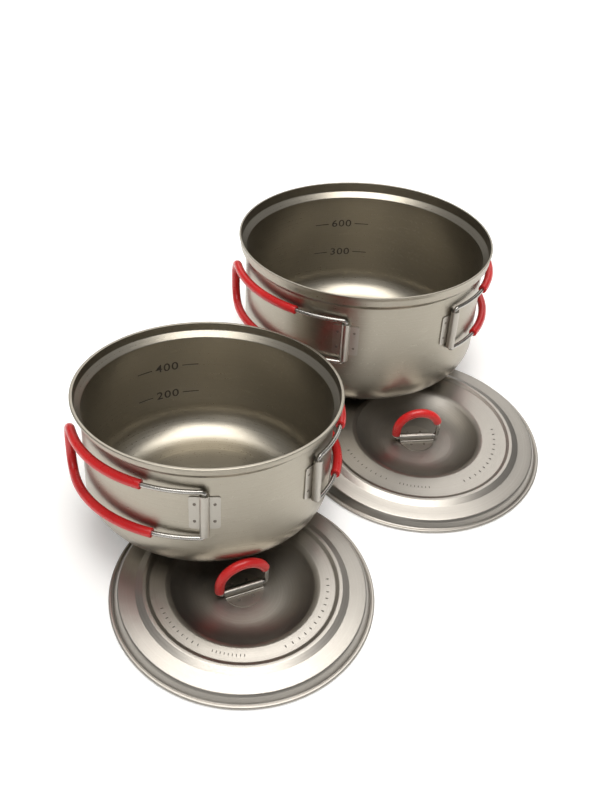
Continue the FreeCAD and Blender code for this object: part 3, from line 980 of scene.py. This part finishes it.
def joined(name, meshes):
    """One object from several meshes."""
    points = []
    faces = []
    for mesh in meshes:
        base = len(points)
        points += [tuple(vertex.co) for vertex in mesh.vertices]
        faces += [tuple(base + corner for corner in face.vertices) for face in mesh.polygons]
    whole = bpy.data.meshes.new(name)
    whole.from_pydata(points, [], faces)
    piece = bpy.data.objects.new(name, whole)
    bpy.context.scene.collection.objects.link(piece)
    return piece


# ---------------------------------------------------------------- the set

def kept_bracket(node):
    """A CAD bracket stays as it is and gets its metal."""
    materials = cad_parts[node].data.materials
    materials.clear()
    materials.append(BRACKET_METAL)


def make_pot(size):
    pot = POTS[size]
    place = pot_matrix(size)
    body = f"pot_{size}"
    mesh = outline_mesh(body + "_outline", pot_outline(pot))
    shell = grown(f"{body}_shell", mesh, SPUN, place, Steps=SPIN_STEPS, Finish=POT_METAL)
    finished(shell, body, "pot_metal", body)
    numbers = graduations(size, "graduations", 0.0, MARK_STAND, WALL_MARK)
    finished(numbers, body, "pot_metal")
    # A pale copy of the graduations, set a little lower: a painted highlight on their lower edges.
    painted_highlights = graduations(size, "graduation_edges", PAINTED_HIGHLIGHT_DROP, PAINTED_HIGHLIGHT_STAND, PAINTED_MARK_HIGHLIGHT)
    finished(painted_highlights, body, "pot_metal")
    welds = marks(f"spot_welds_{size}", weld_spots(size), WELD_MARK_SIZE, WELD_MARK, place)
    finished(welds, body, "pot_metal")
    for side in pot["hinge_azimuth"]:
        make_handle(size, side)


def make_handle(size, side):
    pot = POTS[size]
    body = f"handle_{size}_{side}"
    place = handle_matrix(size, side)
    wire_points = mirrored(handle_wire_points(pot), side)
    wire = rod(f"{body}_wire", wire_points, WIRE_RADIUS, WIRE_METAL, place)
    finished(wire, body, "wire_steel", f"handle_wire_{size}_{side}")
    radius = pot["body_radius"] + HINGE_STANDOFF
    starts = [math.degrees(start / radius) for start in (SLEEVE_START, SLEEVE_START_LOW)]
    sleeve_points = mirrored(handle_run_points(pot, *starts), side)
    sleeve = rod(f"{body}_sleeve", sleeve_points, SLEEVE_RADIUS, SLEEVE_RED, place, SOFT_END)
    finished(sleeve, body, "sleeve_silicone", f"handle_sleeve_{size}_{side}")
    kept_bracket(f"handle_bracket_{size}_{side}")


def make_lid(size):
    lid = LIDS[size]
    place = lid_matrix(size)
    body = f"lid_{size}"
    mesh = outline_mesh(body + "_outline", lid_outline(lid))
    shell = grown(f"{body}_shell", mesh, SPUN, place, Steps=SPIN_STEPS, Finish=LID_METAL)
    finished(shell, body, "pot_metal", body)
    ticks = marks(f"ring_marks_{size}", lid_mark_spots(lid), TICK_SIZE, LID_MARK, place)
    finished(ticks, body, "pot_metal")
    kept_bracket(f"grip_bracket_{size}")
    welds = marks(f"disc_welds_{size}", disc_weld_spots(), WELD_MARK_SIZE, WELD_MARK, place)
    finished(welds, body, "pot_metal")
    lip_height = DISH_FLOOR + WELD_GAP + DISC_SHEET + ROLL_LIP_RADIUS / 2
    half = GRIP_BARREL_LENGTH / 2
    lip_ends = [Vector((reach, -ROLL_LIP_REACH, lip_height)) for reach in (-half, half)]
    lip = rod(f"disc_roll_lip_{size}", lip_ends, ROLL_LIP_RADIUS, BRACKET_METAL, place)
    finished(lip, body, "pot_metal")
    grip = f"grip_{size}"
    wire = rod(f"{grip}_wire", grip_wire_points(), WIRE_RADIUS, WIRE_METAL, place)
    finished(wire, grip, "wire_steel", f"grip_wire_{size}")
    arch = grip_arch_points(GRIP_SLEEVE_LOW, GRIP_SLEEVE_CUT)
    sleeve = rod(f"{grip}_sleeve", arch, GRIP_SLEEVE_RADIUS, SLEEVE_RED, place, SOFT_END)
    finished(sleeve, grip, "sleeve_silicone", f"grip_sleeve_{size}")


for pot_size in POTS:
    make_pot(pot_size)
for lid_size in LIDS:
    make_lid(lid_size)


# ---------------------------------------------------------------- floor, light, camera

# The stage is in metres and watts, and the sensor in millimetres.
FLOOR_HALF = 4.0
FLOOR_DROP = 0.0002            # keeps the floor's face off the lids' undersides
FLOOR_GLOW = 0.22
WORLD_LIGHT = 0.24
LAMP_TINT = (1.0, 0.985, 0.96)
# name, place, aimed at, width, depth, power
LAMPS = (
    ("overhead softbox", (0.0, 0.0, 1.1), (0.0, 0.02, 0), 0.9, 1.1, 14.5),
    ("back wall bounce", (0.0, 1.4, 1.15), (0, 0.0, 0.1), 1.8, 1.0, 9.0),
    ("front bounce", (-0.4, -1.5, 0.9), (0, 0, 0), 1.0, 0.5, 2.0),
)
CAMERA_PLACE = Vector((-0.0127, -0.3954, 0.3847))   # from the set's middle on the floor
CAMERA_PITCH = 41.61           # below level
CAMERA_ROLL = 4.97
LENS_IN_HEIGHTS = 980.7 / 800  # focal length for each unit of the image's height
SENSOR = 36.0


def pale_floor():
    mesh = bpy.data.meshes.new("floor")
    low, high = -FLOOR_HALF, FLOOR_HALF
    corners = [(low, low, 0), (high, low, 0), (high, high, 0), (low, high, 0)]
    mesh.from_pydata(corners, [], [(0, 1, 2, 3)])
    material, _, shader = new_material("white paper")
    shader.inputs["Base Color"].default_value = (0.86, 0.86, 0.85, 1.0)
    shader.inputs["Roughness"].default_value = 0.9
    shader.inputs["Emission Color"].default_value = (1.0, 1.0, 1.0, 1.0)
    shader.inputs["Emission Strength"].default_value = FLOOR_GLOW
    mesh.materials.append(material)
    floor = bpy.data.objects.new("floor", mesh)
    floor.location.z = CAD_BOX[0].z - FLOOR_DROP
    bpy.context.scene.collection.objects.link(floor)


def softbox(name, place, aim, width, depth, power):
    light = bpy.data.lights.new(name, "AREA")
    light.shape = "RECTANGLE"
    light.size = width
    light.size_y = depth
    light.energy = power
    light.color = LAMP_TINT
    lamp = bpy.data.objects.new(name, light)
    lamp.location = place
    lamp.rotation_euler = (Vector(aim) - Vector(place)).to_track_quat("-Z", "Y").to_euler()
    bpy.context.scene.collection.objects.link(lamp)


def studio():
    world = bpy.data.worlds.new("studio")
    world.use_nodes = True
    background = world.node_tree.nodes["Background"].inputs
    background["Color"].default_value = (1.0, 0.99, 0.975, 1.0)
    background["Strength"].default_value = WORLD_LIGHT
    bpy.context.scene.world = world
    for lamp in LAMPS:
        softbox(*lamp)


def camera():
    pitch = math.radians(CAMERA_PITCH)
    forward = Vector((0, math.cos(pitch), -math.sin(pitch)))
    right = Vector((1, 0, 0))
    above = right.cross(forward)
    turn = Matrix((right, above, -forward)).transposed()
    roll = Matrix.Rotation(math.radians(CAMERA_ROLL), 3, "Z")
    data = bpy.data.cameras.new("camera")
    data.sensor_width = SENSOR
    data.lens = LENS_IN_HEIGHTS * SENSOR
    stand = bpy.data.objects.new("camera", data)
    low, high = CAD_BOX
    floor_middle = Vector(((low.x + high.x) / 2, (low.y + high.y) / 2, low.z))
    place = Matrix.Translation(floor_middle + CAMERA_PLACE)
    stand.matrix_world = place @ (turn @ roll).to_4x4()
    bpy.context.scene.collection.objects.link(stand)
    bpy.context.scene.camera = stand


pale_floor()
studio()
camera()
bpy.context.scene.view_settings.view_transform = "Standard"
